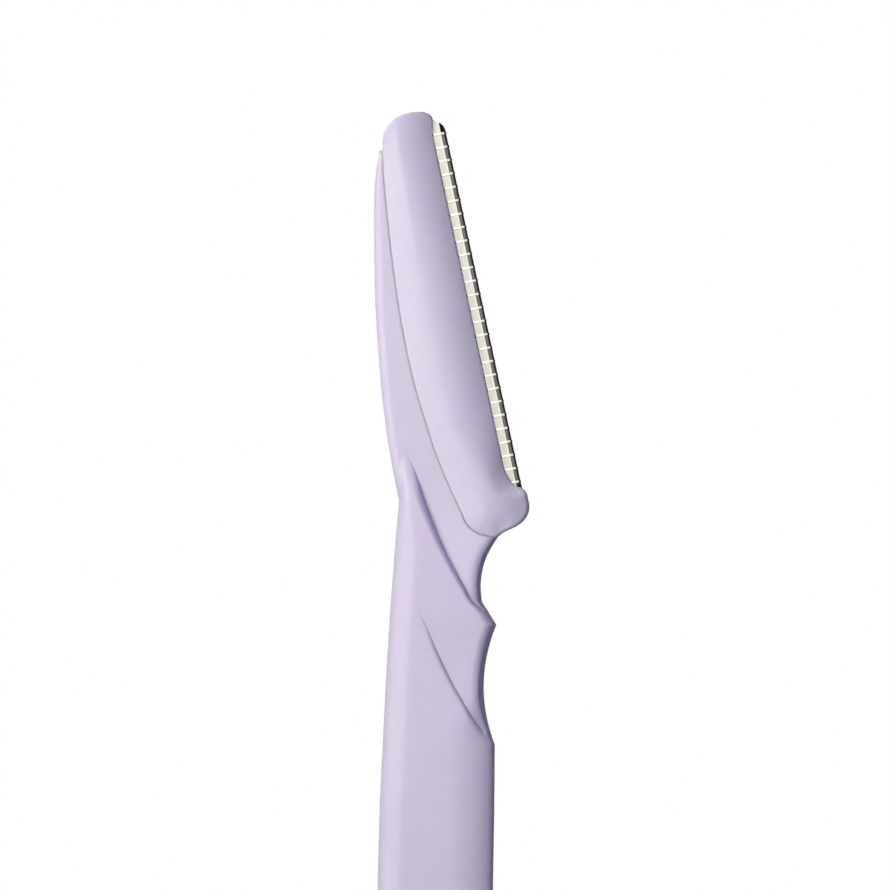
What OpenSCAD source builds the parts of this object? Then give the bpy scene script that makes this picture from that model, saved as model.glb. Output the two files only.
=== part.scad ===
// Eyebrow razor: a guarded steel blade clamped between two head covers on a moulded handle.
// The long axis is Z with the head up. The cutting edge looks to +X and the front to -Y.
// Z = 0 is the end of the handle. X = 0 is the middle of the head's width, and Y = 0
// is the middle plane of the blade. Both faces of the razor are alike.

/* [Overall] */
// Length from the end of the handle to the top of the head
total_len = 150; // [130:1:180]
// Width of the head from the back of the spine to the nose of the chin
head_w = 15.7; // [15:0.1:17]

/* [Handle] */
// Width of the grip at its widest
grip_w = 11.65; // [10.9:0.05:12.4]
// Thickness of the grip over its crown, before the flats are cut
grip_t = 4.8; // [4.4:0.1:6]
// How far the middle of the grip stands back from the middle of the head
grip_back = 1.7; // [1.4:0.1:2]
// How much lower the long sides of the grip's face are than its middle
grip_crown = 0.15; // [0.05:0.01:0.3]
// Width of the round along the back edge of the grip
back_round = 2.4; // [1.8:0.1:3.4]
// Width over which the grip's face falls away to its finger side
side_round = 5; // [4:0.1:6]
// Width over which the face falls away to the scoops and to the neck's finger side
fold_round = 1.4; // [1:0.1:2]
// Width of the slanted wall along the finger side of the grip
side_w = 0.8; // [0.5:0.05:1.1]
// Width of the slanted wall along the finger side of the neck
neck_side_w = 0.5; // [0.3:0.05:0.7]
// Thickness that is left at the outline, where the mould closed
rim_t = 0.5; // [0.3:0.05:0.8]
// Radius of the two corners of the handle's end, between which it is flat
end_r = 2.8; // [2:0.1:3.4]
// Radius of the round between the handle's faces and its flat end
end_face_r = 0.45; // [0.3:0.05:0.6]
// How deep the flats that the razor lies on are cut into the crowned faces
land_cut = 0.05; // [0.04:0.01:0.1]

/* [Neck and folds] */
// Thickness of the neck and of the spine behind the blade
neck_t = 2.6; // [2.3:0.1:2.9]
// Width of the round rim along the back edge of the spine and of the grip
spine_round = 0.9; // [0.5:0.1:1.2]
// Length of the folded stretch between the head and the plain grip
fold_len = 21; // [19:0.5:24]
// Depth of the finger scoop below the point
scoop_depth = 1.2; // [0.9:0.1:1.5]
// Width of the round that rolls down into the upper fold near its tip
upper_roll = 1; // [0.6:0.05:1.3]
// Width of the round that rolls down into the lower fold
lower_roll = 0.75; // [0.4:0.05:0.9]
// Height of the step at the lower fold
lower_step = 0.55; // [0.3:0.05:0.7]
// Length over which the ridge at the tip of the handle's face rises
ridge_rise = 5; // [4:0.5:9]

/* [Head] */
// Thickness of the head at its crest
crest_t = 4.5; // [3.8:0.1:4.8]
// Thickness of the head where the two lips close on the guard
lip_t = 1.3; // [1.1:0.05:1.6]
// Width over which the head thins from its crest to the lips
lip_fall = 4.2; // [3.6:0.1:5]
// Largest width over which a cover rises from its seam to the crest
seam_rise = 3.9; // [3:0.1:4.4]
// Height from the underside of the chin to the lower end of the bare edge
chin_drop = 4.95; // [4.4:0.05:5.6]
// How far the nose of the chin stands out past the edge
nose_out = 0.75; // [0.7:0.05:1.2]
// Radius of the round lower corner of the seam
seam_r = 2.95; // [2.6:0.05:3.3]
// Height of the round back shoulder at the top of the head
shoulder_h = 3.3; // [2.8:0.1:3.8]
// Height of the top of the head over the upper end of the blade
crown_rise = 0.75; // [0.5:0.05:1]
// Distance from the lips to the highest point of the head
crown_reach = 1.25; // [0.9:0.05:1.6]
// Radius of the round along the free outline of the covers
cover_round = 0.4; // [0.25:0.05:0.7]
// Radius of the round along the lips
lip_round = 0.2; // [0.1:0.01:0.28]
// Radius of the broken edges on both sides of the seam
seam_round = 0.12; // [0.06:0.01:0.2]
// Gap of the seam between a cover and the handle
seam_gap = 0.04; // [0.02:0.01:0.08]

/* [Joint inside the head] */
// Thickness of the handle's tongue between the covers
tongue_t = 1; // [0.8:0.05:1.2]
// How far the tongue is rooted in the spine
tongue_root = 0.7; // [0.4:0.05:0.9]
// Width of the covers' rim round the upper end of the tongue
tongue_rim = 0.9; // [0.7:0.05:1.1]
// Diameter of the two posts of the rear cover that pass through the tongue
post_d = 1.5; // [1.2:0.05:1.8]
// Depth of the post sockets in the front cover
post_socket = 0.8; // [0.5:0.05:1]
// Diameter of the two pins of the rear cover that pass through the blade
pin_d = 1.1; // [0.9:0.05:1.3]
// Depth of the pin sockets in the front cover
pin_socket = 0.45; // [0.3:0.05:0.6]
// Gap all round in the pockets, holes and sockets
fit_gap = 0.03; // [0.02:0.01:0.06]

/* [Blade] */
// Length of the bare cutting edge
edge_len = 38; // [35:0.5:41]
// Width of steel that shows beside the lips
bare_w = 1.34; // [1.2:0.01:1.5]
// Depth of the blade from its edge to its back
blade_w = 4; // [3.7:0.1:4.2]
// Thickness of the blade
blade_t = 0.22; // [0.15:0.01:0.3]
// Length of the blade's tail inside the chin
blade_tail = 1.5; // [1:0.1:2]
// Width of the ground bevel
bevel_w = 0.62; // [0.5:0.01:0.7]
// Width of the honed facet at the edge
hone_w = 0.18; // [0.12:0.01:0.25]
// Thickness of the blade where the honed facet starts
hone_t = 0.1; // [0.06:0.01:0.13]
// Thickness of the cutting edge
edge_t = 0.02; // [0.01:0.005:0.04]
// Radius of the blade's upper corner
corner_r = 1.1; // [0.8:0.05:1.2]

/* [Guard] */
// Thickness of the guard's sheet
sheet_t = 0.1; // [0.08:0.01:0.12]
// Depth of the guard from the edge to its hidden border
guard_w = 2; // [1.8:0.05:2.2]
// Width of the windows along the edge
window_w = 0.58; // [0.5:0.01:0.65]
// Distance from one rib to the next
rib_pitch = 1.384; // [1.2:0.001:1.6]
// Distance from the upper end of the blade to the first rib
rib_start = 1.45; // [1.25:0.01:1.7]
// Width of a rib
rib_w = 0.18; // [0.12:0.01:0.25]
// How far a rib stands proud of the sheet
rib_rise = 0.05; // [0.03:0.005:0.08]
// How far a rib stands out past the cutting edge
rib_nose = 0.12; // [0.08:0.01:0.16]
// Diameter of the pressed bump at the foot of a rib
bump_d = 0.28; // [0.2:0.01:0.34]
// Height of the bump over the sheet
bump_rise = 0.07; // [0.04:0.005:0.09]

/* [Hidden] */

// Number of facets of a round hole or pin
round_fn = 48;
// Overrun of a cut past the face that it opens
over = 0.5;
// Ends of the bare edge across the head, and its lean away from the long axis in degrees
edge_top_share = -0.0546;
edge_x0 = head_w / 2 - nose_out;
edge_tilt = asin((edge_x0 - edge_top_share * head_w) / edge_len);
// Lengths of the head and of everything below it
head_len = edge_len * cos(edge_tilt) + chin_drop + crown_rise;
neck_z = total_len - head_len;
edge_z0 = neck_z + chin_drop;
// Middle line of the grip
grip_x = -grip_back;

// Half thicknesses, because both faces are alike
grip_h = grip_t / 2;
neck_h = neck_t / 2;
rim_h = rim_t / 2;
crest_h = crest_t / 2;
lip_h = lip_t / 2;
tongue_h = tongue_t / 2;

// Back outline of the spine, up from the kink at the handle: height and place across,
// as shares of head_len and head_w
spine_shares = [
    [0.086, -0.340], [0.178, -0.389], [0.272, -0.429], [0.414, -0.468], [0.556, -0.492],
    [0.698, -0.500], [0.792, -0.499], [0.840, -0.493], [0.887, -0.475], [0.910, -0.460]
];
// Place of the back outline level with the underside of the chin
nape_share = -0.360;
// Seam between spine and cover, in the same shares
seam_shares = [
    [0.050, 0.072], [0.126, -0.024], [0.196, -0.101], [0.280, -0.175], [0.365, -0.243],
    [0.473, -0.307], [0.613, -0.368], [0.700, -0.397], [0.785, -0.421], [0.856, -0.438],
    [0.922, -0.446]
];
// Back outline of the grip: height as a share of neck_z, place from the grip's middle
// line as a share of grip_w
back_shares = [
    [0, -0.420], [0.20, -0.468], [0.45, -0.500], [0.666, -0.498], [0.751, -0.476],
    [0.808, -0.451], [0.883, -0.415], [0.940, -0.381]
];
// Finger side of the plain grip: height as a share of fold_z, place as before
finger_shares = [
    [0, 0.409], [0.23, 0.442], [0.56, 0.485], [0.83, 0.504], [0.92, 0.515], [1, 0.520]
];
// Scoop of the neck: distance below the chin as a share of fold_len, place as before
neck_shares = [
    [0, 0.549], [0.052, 0.490], [0.109, 0.440], [0.157, 0.415], [0.227, 0.398],
    [0.311, 0.407]
];
// The sharp point between the two scoops, and the foot of the lower one
point_shares = [0.424, 0.534];
foot_shares = [1, 0.520];
// Upper fold, from its tip to the side of the handle, in the same shares
upper_fold_shares = [
    [-0.408, -0.256], [-0.357, -0.208], [-0.266, -0.141], [-0.175, -0.091], [-0.069, -0.017],
    [0.052, 0.075], [0.148, 0.163], [0.249, 0.265], [0.319, 0.342], [0.370, 0.470]
];
// Back side of the ridge at the tip of the upper fold
ridge_shares = [[-0.408, -0.256], [-0.380, -0.281], [-0.180, -0.312]];
// Lower fold
lower_fold_shares = [
    [0.335, -0.155], [0.427, -0.078], [0.571, 0.035], [0.689, 0.139], [0.787, 0.239],
    [0.879, 0.342], [0.941, 0.424], [1.010, 0.530]
];
// Where the step of the lower fold starts and where it is whole
lower_step_shares = [0.290, 0.640];
// Chin from the round inner corner of the lips over the nose to the underside,
// from the lower end of the edge, as shares of chin_drop
corner_shares = [[0.384, -0.373], [0.295, -0.323], [0.185, -0.262], [0.075, -0.175], [0.020, -0.090]];
nose_shares = [[0, 0], [-0.03, 0.034], [-0.100, 0.090], [-0.236, 0.125]];
nose_tip_share = 0.36;
jaw_shares = [[-0.587, 0.097], [-0.700, 0.010], [-0.780, -0.100], [-0.916, -0.378]];
// Heights of the tongue's ends, and of the stretch where its root leaves the spine,
// as shares of head_len
tongue_end_shares = [0.085, 0.945];
tongue_root_shares = [0.70, 0.80];
// Heights of the posts as shares of head_len, and of the pins as shares of edge_len
post_shares = [0.30, 0.62];
pin_shares = [0.16, 0.84];
// Place of the pins between the guard's hidden border and the blade's back
pin_across_share = 0.46;

// Heights that the outlines meet at
fold_z = neck_z - fold_len;
kink_z = neck_z + spine_shares[0][0] * head_len;
spine_top_z = neck_z + spine_shares[len(spine_shares) - 1][0] * head_len;
shoulder_z = total_len - shoulder_h;
seam_arc_z = neck_z + seam_shares[0][0] * head_len;

function mix(a, b, t) = a + (b - a) * t;
function bound(v, lo, hi) = min(hi, max(lo, v));
function last(list) = list[len(list) - 1];
// Smooth step from 0 at a to 1 at b
function ease(v, a, b) = let (t = bound((v - a) / (b - a), 0, 1)) t * t * (3 - 2 * t);
// Quarter ellipse, upright at distance 0 and level at the width w
function roll(d, w) = let (t = bound(d / w, 0, 1)) sqrt(max(0, 1 - (1 - t) * (1 - t)));
// Quarter sine, level at the width w
function ramp(d, w) = sin(90 * bound(d / w, 0, 1));

// A smooth curve through a table of [height, place]: cubic pieces whose slope at each
// point is the mean of the slopes beside it
function secant(p, i) = (p[i + 1][1] - p[i][1]) / (p[i + 1][0] - p[i][0]);
function slope(p, i) =
    i == 0 ? secant(p, 0)
    : i == len(p) - 1 ? secant(p, i - 1)
    : (secant(p, i - 1) * (p[i + 1][0] - p[i][0]) + secant(p, i) * (p[i][0] - p[i - 1][0]))
      / (p[i + 1][0] - p[i - 1][0]);
function piece_of(p, z, i = 0) = i >= len(p) - 2 || z <= p[i + 1][0] ? i : piece_of(p, z, i + 1);
function curve(p, z) =
    let (
        i = piece_of(p, z),
        h = p[i + 1][0] - p[i][0],
        t = bound((z - p[i][0]) / h, 0, 1),
        t2 = t * t,
        t3 = t2 * t
    )
    p[i][1] * (2 * t3 - 3 * t2 + 1) + p[i + 1][1] * (3 * t2 - 2 * t3)
    + slope(p, i) * h * (t3 - 2 * t2 + t) + slope(p, i + 1) * h * (t3 - t2);

// Tables in real sizes, with rising heights
function up(list) = [for (i = [len(list) - 1:-1:0]) list[i]];
function head_table(shares) = [for (s = shares) [neck_z + s[0] * head_len, s[1] * head_w]];
function fold_table(shares) = up([for (s = shares) [neck_z - s[0] * fold_len, grip_x + s[1] * grip_w]]);
function chin_table(shares) = [for (s = shares) [edge_z0 + s[0] * chin_drop, edge_x0 + s[1] * chin_drop]];

// Cutting edge and lips
function edge_x(z) = edge_x0 - (z - edge_z0) * tan(edge_tilt);
lip_stop_z = total_len - crown_rise - rib_start;
function lip_line(z) = edge_x(z) - bare_w / cos(edge_tilt);
function lip_x(z) = lip_line(min(z, lip_stop_z));
function blade_back_x(z) = edge_x(z) - blade_w / cos(edge_tilt);

// Back outline
spine_line = head_table(spine_shares);
nape_x = nape_share * head_w;
grip_back_line = concat(
    [for (s = back_shares) [s[0] * neck_z, grip_x + s[1] * grip_w]],
    [[neck_z, nape_x]]
);
function end_inset(z) = z >= end_r ? 0 : end_r * (1 - roll(z, end_r));
function back_x(z) =
    z <= neck_z ? curve(grip_back_line, z) + end_inset(z)
    : z <= kink_z ? mix(nape_x, spine_line[0][1], (z - neck_z) / (kink_z - neck_z))
    : curve(spine_line, z);

// Finger side outline, and the seam above it
finger_line = [for (s = finger_shares) [s[0] * fold_z, grip_x + s[1] * grip_w]];
neck_line = fold_table(neck_shares);
point_z = neck_z - point_shares[0] * fold_len;
point_x = grip_x + point_shares[1] * grip_w;
foot_x = grip_x + foot_shares[1] * grip_w;
ramp_z = neck_line[0][0];
function scoop_x(z) =
    let (t = (z - fold_z) / (point_z - fold_z))
    mix(foot_x, point_x, t) - scoop_depth * 4 * t * (1 - t);
seam_line = head_table(seam_shares);
seam_arc_x = seam_line[0][1];
seam_arc_dz = seam_arc_z - neck_z - seam_r;
seam_cx = seam_arc_x + sqrt(seam_r * seam_r - seam_arc_dz * seam_arc_dz);
function seam_x(z) =
    z >= seam_arc_z ? curve(seam_line, z)
    : seam_cx - seam_r * roll(z - neck_z, seam_r);
function side_x(z) =
    z <= fold_z ? curve(finger_line, z) - end_inset(z)
    : z <= point_z ? scoop_x(z)
    : z <= ramp_z ? mix(point_x, neck_line[0][1], (z - point_z) / (ramp_z - point_z))
    : z <= neck_z ? curve(neck_line, z)
    : seam_x(z);

// Folds
upper_fold = fold_table(upper_fold_shares);
lower_fold = fold_table(lower_fold_shares);
ridge_back = fold_table(ridge_shares);
tip_z = last(upper_fold)[0];
lower_top_z = last(lower_fold)[0];
lower_foot_z = lower_fold[0][0];
upper_foot_z = upper_fold[0][0];
step_on_z = neck_z - lower_step_shares[0] * fold_len;
step_full_z = neck_z - lower_step_shares[1] * fold_len;

// Width of the slanted side wall, and the height that it falls to
function wall_w(z) =
    z > neck_z ? seam_round
    : mix(side_w, neck_side_w, ease(z, fold_z, ramp_z));
function wall_foot(z) = z > neck_z ? neck_h - seam_round : rim_h;
// Places of the two folds in the outline, far outside where there is none
outside_x = head_w;
function upper_x(z) = z < upper_foot_z ? outside_x : curve(upper_fold, z);
function lower_x(z) = z < lower_foot_z ? outside_x : curve(lower_fold, z);

// Largest shares of the leaf between the outline and the upper fold that the round along
// its back and the roll into the fold may take
back_most_share = 0.45;
roll_most_share = 0.55;
// Largest share of a level that the round rim on its back side may take
rim_most_share = 0.5;

// Half thickness of the handle at x and z, without the side wall: a round rim, and on it
// the leaf, which starts at the tip, rolls down into the upper fold and steps down at the
// lower one
function face_h(x, z) =
    let (
        left = back_x(z),
        right = side_x(z),
        wide = right - left,
        level = end_face_r >= z ? grip_h - end_face_r * (1 - roll(z, end_face_r)) : grip_h,
        off = (x - left) / grip_w * 2 - 1,
        ridge_left = z < kink_z ? left : z > tip_z ? x : curve(ridge_back, z),
        fold = z > tip_z ? x : upper_x(z),
        share = ease(tip_z - z, 0, ridge_rise),
        leaf_w = max(seam_round, min(fold, right) - ridge_left),
        back_w = min(back_round, leaf_w * back_most_share),
        roll_w = min(mix(lower_roll, upper_roll, ease(z, ramp_z, tip_z)), leaf_w * roll_most_share),
        drop = z > step_on_z ? 0 : lower_step * ease(step_on_z - z, 0, step_on_z - step_full_z),
        low_roll = z > step_on_z ? 1 : roll(lower_x(z) - x, lower_roll),
        swell = ramp(x - ridge_left + end_inset(z), back_w),
        leaf = (level - neck_h) * swell - drop * (1 - low_roll)
    )
    rim_h + (neck_h - rim_h) * roll(x - left, min(spine_round, wide * rim_most_share))
    + share * (leaf - grip_crown * off * off) * (z > tip_z ? 0 : roll(fold - x, roll_w));

// Width of the round to the finger side: broad on the grip, narrow along the folds
function side_round_w(z) =
    mix(side_round, fold_round, ease(z, fold_z - fold_len / 20, fold_z + fold_len / 4));

// Half thickness of the handle at x and z: the face, run down to the rim by the slanted wall,
// and up to the neck by the round to the finger side as well
function handle_h(x, z) =
    let (
        right = side_x(z),
        w = wall_w(z),
        d = (right - x) / w,
        soft = 1 - ease(z, fold_z - fold_len / 4, fold_z),
        wall = d >= 1 ? 1 : z > neck_z ? roll(d, 1) : mix(d, roll(d, 1), soft),
        fall = z > neck_z ? 1 : roll(right + end_inset(z) - x, side_round_w(z))
    )
    mix(wall_foot(z), face_h(min(x, right - w), z), min(wall, fall));

// Shares of a level that its knots keep from each other, and where the knots of the two folds
// lie on the plain grip and the plain spine
round_most_share = 0.3;
knot_gap_share = 0.02;
upper_free_share = 0.7;
lower_free_share = 0.4;
lower_start_share = 0.14;

// Places across one level: even shares between knots that follow the folds
function knots(z) =
    let (
        left = back_x(z),
        right = side_x(z) - wall_w(z),
        wide = right - left,
        round_w = min(back_round, wide * round_most_share),
        lo = left + round_w,
        near = wide * knot_gap_share,
        above = ease(z, tip_z, tip_z + ridge_rise),
        below = ease(fold_z - z, 0, fold_len / 3),
        upper_free = mix(lo, right, upper_free_share),
        upper_at = mix(upper_free, upper_x(min(z, tip_z)), (1 - above) * (1 - below)),
        upper = bound(z < upper_foot_z ? mix(right, upper_free, below) : upper_at,
            lo + 3 * near, right - near),
        lower_free = mix(lo, upper, lower_free_share),
        lower_start = mix(lo, upper, lower_start_share),
        lower_at = z > lower_top_z ? mix(lower_start, lower_free, ease(z, lower_top_z, neck_z))
            : z < lower_foot_z ? mix(upper, lower_free, below) : lower_x(z),
        lower = bound(lower_at, lo + near, upper - 2 * near)
    )
    [
        left, lo, max(mix(lo, lower, round_most_share), lower - lower_roll), lower,
        max(mix(lower, upper, round_most_share), upper - upper_roll), upper, right, side_x(z)
    ];
// Columns in each stretch between two knots
knot_steps = [6, 2, 3, 2, 4, 2, 3];
function spread(a, b, n, curl) =
    [for (i = [0:n - 1]) mix(a, b, curl == 0 ? i / n : 1 - cos(90 * i / n))];
function columns(z) =
    let (k = knots(z))
    concat(
        [for (s = [0:len(knot_steps) - 1]) each spread(k[s], k[s + 1], knot_steps[s], s == 0 ? 1 : 0)],
        [last(k)]
    );

// Rows of the handle: heights from the end to the top of the spine
function rows(a, b, n) = [for (i = [0:n - 1]) mix(a, b, i / n)];
function round_rows(a, b, n) = [for (i = [0:n - 1]) mix(a, b, 1 - cos(90 * i / n))];
handle_rows = concat(
    round_rows(0, end_r, 5),
    rows(end_r, fold_z - fold_len / 3, 6),
    rows(fold_z - fold_len / 3, fold_z, 4),
    rows(fold_z, point_z, 17),
    rows(point_z, ramp_z, 4),
    rows(ramp_z, neck_z, 11),
    [neck_z],
    round_rows(neck_z + seam_gap / 4, kink_z, 9),
    rows(kink_z, tip_z, 7),
    rows(tip_z, spine_top_z, 15),
    [spine_top_z]
);

// A closed body from rings at rising levels. Each ring is its front points from back to
// edge and then its rear points in the same order.
module ring_body(front, rear) {
    rows = len(front);
    cols = len(front[0]);
    span = rows * cols;
    points = concat([for (r = front) each r], [for (r = rear) each r]);
    function f(r, c) = r * cols + c;
    function b(r, c) = span + r * cols + c;
    skin = [
        for (r = [0:rows - 2]) for (c = [0:cols - 2]) each [
            [f(r, c), f(r + 1, c), f(r + 1, c + 1)],
            [f(r, c), f(r + 1, c + 1), f(r, c + 1)],
            [b(r, c), b(r + 1, c + 1), b(r + 1, c)],
            [b(r, c), b(r, c + 1), b(r + 1, c + 1)]
        ]
    ];
    edges = [
        for (r = [0:rows - 2]) each [
            [f(r, 0), b(r, 0), b(r + 1, 0)],
            [f(r, 0), b(r + 1, 0), f(r + 1, 0)],
            [f(r, cols - 1), b(r + 1, cols - 1), b(r, cols - 1)],
            [f(r, cols - 1), f(r + 1, cols - 1), b(r + 1, cols - 1)]
        ]
    ];
    top = rows - 1;
    ends = [
        for (c = [0:cols - 2]) each [
            [f(0, c), f(0, c + 1), b(0, c + 1)],
            [f(0, c), b(0, c + 1), b(0, c)],
            [f(top, c), b(top, c + 1), f(top, c + 1)],
            [f(top, c), b(top, c), b(top, c + 1)]
        ]
    ];
    polyhedron(points = points, faces = concat(skin, edges, ends), convexity = 6);
}

// Outline of the tongue in the plane of the blade, grown by g
function tongue_left(s) =
    let (z = neck_z + s * head_len)
    seam_x(z) + mix(-tongue_root, tongue_rim,
        ease(s, tongue_root_shares[0], tongue_root_shares[1]));
function tongue_points(g) =
    let (
        low = tongue_end_shares[0],
        high = tongue_end_shares[1],
        steps = 24,
        levels = [for (i = [0:steps]) mix(low, high, i / steps)]
    )
    concat(
        [for (s = levels) [tongue_left(min(s, shoulder_share)) - g,
            neck_z + s * head_len + (s == low ? -g : s == high ? g : 0)]],
        [for (i = [steps:-steps:0]) let (s = levels[i], z = neck_z + s * head_len)
            [blade_back_x(z) - tongue_clear + g, z + (i == 0 ? -g : g)]]
    );
shoulder_share = (shoulder_z - neck_z) / head_len;
// Gap between the tongue and the back of the blade
tongue_clear = 4 * fit_gap;

// A flat plate whose outline lies in the plane of the blade
module upright_plate(points, thick) {
    rotate([90, 0, 0])
        linear_extrude(height = thick, center = true)
            polygon(points);
}

// Places of the posts and pins in the plane of the blade
function post_place(s) =
    let (z = neck_z + s * head_len)
    [(seam_x(z) + blade_back_x(z) - tongue_clear) / 2, z];
pin_u = mix(guard_w, blade_w, pin_across_share);

// The blade's own frame: Z runs up along the cutting edge and -X points into the head
module on_edge() {
    translate([edge_x0, 0, edge_z0])
        rotate([0, -edge_tilt, 0])
            children();
}

module cross_pin(d, from_y, to_y) {
    translate([0, to_y, 0])
        rotate([90, 0, 0])
            cylinder(d = d, h = to_y - from_y, $fn = round_fn);
}

// One moulded piece: grip, neck, spine and the tongue that the covers close on
module handle() {
    front = [for (z = handle_rows) [for (x = columns(z)) [x, -handle_h(x, z), z]]];
    rear = [for (r = front) [for (p = r) [p[0], -p[1], p[2]]]];
    color("#cdc4de")
    difference() {
        union() {
            ring_body(front, rear);
            upright_plate(tongue_points(0), tongue_t);
        }
        for (side = [0, 1])
            mirror([0, side, 0])
                translate([-head_w, grip_h - land_cut, -over])
                    cube([2 * head_w, grip_h, total_len]);
        for (s = post_shares)
            translate([post_place(s)[0], 0, post_place(s)[1]])
                cross_pin(post_d + 2 * fit_gap, -tongue_t, tongue_t);
    }
}

// Outline of the covers: back side, then blade side
corner_line = chin_table(corner_shares);
nose_line = chin_table(nose_shares);
jaw_line = chin_table(jaw_shares);
kink_x = last(seam_line)[1];
crown_x = lip_x(total_len) - crown_reach;
// A round shoulder a little fuller than an ellipse
shoulder_power = 2.2;
function full_round(t) = pow(max(0, 1 - pow(bound(t, 0, 1), shoulder_power)), 1 / shoulder_power);
function cover_back_x(z) =
    z > shoulder_z ? crown_x - (crown_x - kink_x - seam_gap) * full_round((z - shoulder_z) / shoulder_h)
    : seam_x(z - seam_gap) + seam_gap;
corner_z = corner_line[0][0];
chin_points = up(concat(
    nose_line,
    [[edge_z0 - nose_tip_share * chin_drop, head_w / 2]],
    jaw_line,
    [[neck_z + seam_gap, last(neck_line)[1]]]
));
corner_points = up(concat([[corner_z, lip_x(corner_z)]],
    [for (i = [1:len(corner_line) - 1]) corner_line[i]],
    [[edge_z0, edge_x0]]));
function cover_edge_x(z) =
    z > total_len - crown_rise ? crown_x + crown_reach * roll(total_len - z, crown_rise)
    : z > corner_z ? lip_x(z)
    : z > edge_z0 ? curve(corner_points, z)
    : curve(chin_points, z);

// Distance from p to the segment a b, and to a line of points
function to_segment(p, a, b) =
    let (ab = b - a, t = bound(((p - a) * ab) / (ab * ab), 0, 1))
    norm(p - a - t * ab);
function to_line(p, line) = min([for (i = [0:len(line) - 2]) to_segment(p, line[i], line[i + 1])]);

// Rows of a cover from the underside of the chin to the crown
cover_rows = concat(
    round_rows(neck_z + seam_gap, seam_arc_z, 6),
    rows(seam_arc_z, edge_z0, 6),
    rows(edge_z0, corner_z, 6),
    rows(corner_z, shoulder_z, 20),
    [for (i = [0:7]) mix(shoulder_z, total_len, sin(90 * i / 8))],
    [total_len]
);
// The top row keeps the width of the round a little below its highest point
crown_flat_share = 0.007;
crown_flat = crown_flat_share * crown_rise;
function cover_level(z) = min(z, total_len - crown_flat);
// Stretches between the points of a row
cover_cols = 18;
// Outlines as lines of points for the rounds along them
seam_points = concat([[last(neck_line)[1], cover_rows[0]]],
    [for (z = cover_rows) if (z <= shoulder_z) [cover_back_x(z), z]]);
top_points = concat(
    [for (z = cover_rows) if (z >= shoulder_z) [cover_back_x(cover_level(z)), z]],
    [for (i = [0:6]) let (z = mix(total_len, total_len - crown_rise, i / 6))
        [cover_edge_x(cover_level(z)), z]]
);
lips_points = concat(
    [for (i = [0:7]) let (z = mix(total_len + crown_reach, corner_z, i / 7)) [lip_x(z), z]],
    [for (i = [1:6]) let (z = mix(corner_z, edge_z0, i / 6)) [cover_edge_x(z), z]]
);
chin_outline = [for (i = [0:24]) let (z = mix(edge_z0, neck_z + seam_gap, i / 24)) [cover_edge_x(z), z]];

// Distance to the lips for the fall of the face. It counts more along the edge than across
// it, so that the face is whole again soon below the guard.
lips_stretch = 2.5;
// How much faster the face falls near the lips than near the crest
fall_power = 2;
// How much steeper the fall to the lips gets beside their lower corner
corner_steep = 0.6;
// The face falls to the nose and straight below it as well: width of this fall as a share of
// chin_drop, and how much faster it is at the nose
nose_fall_share = 0.97;
nose_power = 1.8;
// Where the rise from the seam ends at the latest, as a share of lip_fall
crest_share = 0.8;
// Power that joins the two widths of the rise without a ridge
join_power = 3;
// Width of the rise beside the round lower corner of the seam, as a share of seam_r
low_rise_share = 0.88;
function edge_frame(x, z) =
    let (dx = x - edge_x0, dz = z - edge_z0, s = sin(edge_tilt), c = cos(edge_tilt))
    [dx * c + dz * s, lips_stretch * (dz * c - dx * s)];
lips_frame = [for (p = lips_points) edge_frame(p[0], p[1])];
function lips_d(x, z) = to_line(edge_frame(x, z), lips_frame);
// Round of radius r at distance d from an outline
function edge_drop(d, r) = d >= r ? 0 : r - sqrt(max(0, r * r - (r - d) * (r - d)));
function cover_h(x, z) =
    let (
        p = [x, z],
        steep = 1 + corner_steep * (1 - ease(z, edge_z0, edge_z0 + 2 * seam_rise)),
        from_lips = steep * lips_d(x, z),
        from_nose = norm([head_w / 2 - x, max(0, z - edge_z0)]),
        to_lips = 1 - pow(1 - bound(from_lips / lip_fall, 0, 1), fall_power),
        to_nose = 1 - pow(1 - bound(from_nose / (nose_fall_share * chin_drop), 0, 1), nose_power),
        seam_share = (neck_h - lip_h) / (crest_h - lip_h),
        seam_d = to_line(p, seam_points),
        most = mix(low_rise_share * seam_r, seam_rise, ease(z, seam_arc_z, seam_arc_z + 2 * lip_fall)),
        rest = seam_d + max(from_lips - crest_share * lip_fall, seam_gap),
        rise_w = pow(pow(most, -join_power) + pow(rest, -join_power), -1 / join_power),
        rise = mix(seam_share, 1, ramp(seam_d, rise_w)),
        face = lip_h + (crest_h - lip_h) * to_lips * to_nose * rise,
        free = min(to_line(p, top_points), to_line(p, chin_outline)),
        free_r = min(cover_round, face - rim_h)
    )
    face - max(edge_drop(free, free_r), edge_drop(seam_d, seam_round),
        edge_drop(to_line(p, lips_points), lip_round));

// Places across a cover, closer together towards both sides
function cover_columns(z) =
    let (a = cover_back_x(cover_level(z)), b = cover_edge_x(cover_level(z)))
    [for (i = [0:cover_cols]) mix(a, b, (1 - cos(180 * i / cover_cols)) / 2)];

// Half of the head on the front side, solid down to the plane of the blade
module head_half() {
    front = [for (z = cover_rows) [for (x = cover_columns(z)) [x, -cover_h(x, z), z]]];
    flat = [for (r = front) [for (p = r) [p[0], 0, p[2]]]];
    ring_body(front, flat);
}

// Pockets that both covers have for the tongue, the blade and the guard
module head_pockets() {
    upright_plate(tongue_points(fit_gap), tongue_t + 2 * fit_gap);
    on_edge() {
        translate([-blade_w - fit_gap, -blade_t / 2 - fit_gap, -blade_tail - fit_gap])
            cube([blade_w + 2 * fit_gap, blade_t + 2 * fit_gap, edge_len + blade_tail + 2 * fit_gap]);
        guard_half = blade_t / 2 + sheet_t + max(rib_rise, bump_rise) + fit_gap;
        translate([-guard_w - fit_gap, -guard_half, -guard_tail - fit_gap])
            cube([guard_w + rib_nose + 2 * fit_gap, 2 * guard_half, edge_len + guard_tail + 2 * fit_gap]);
    }
}

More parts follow.
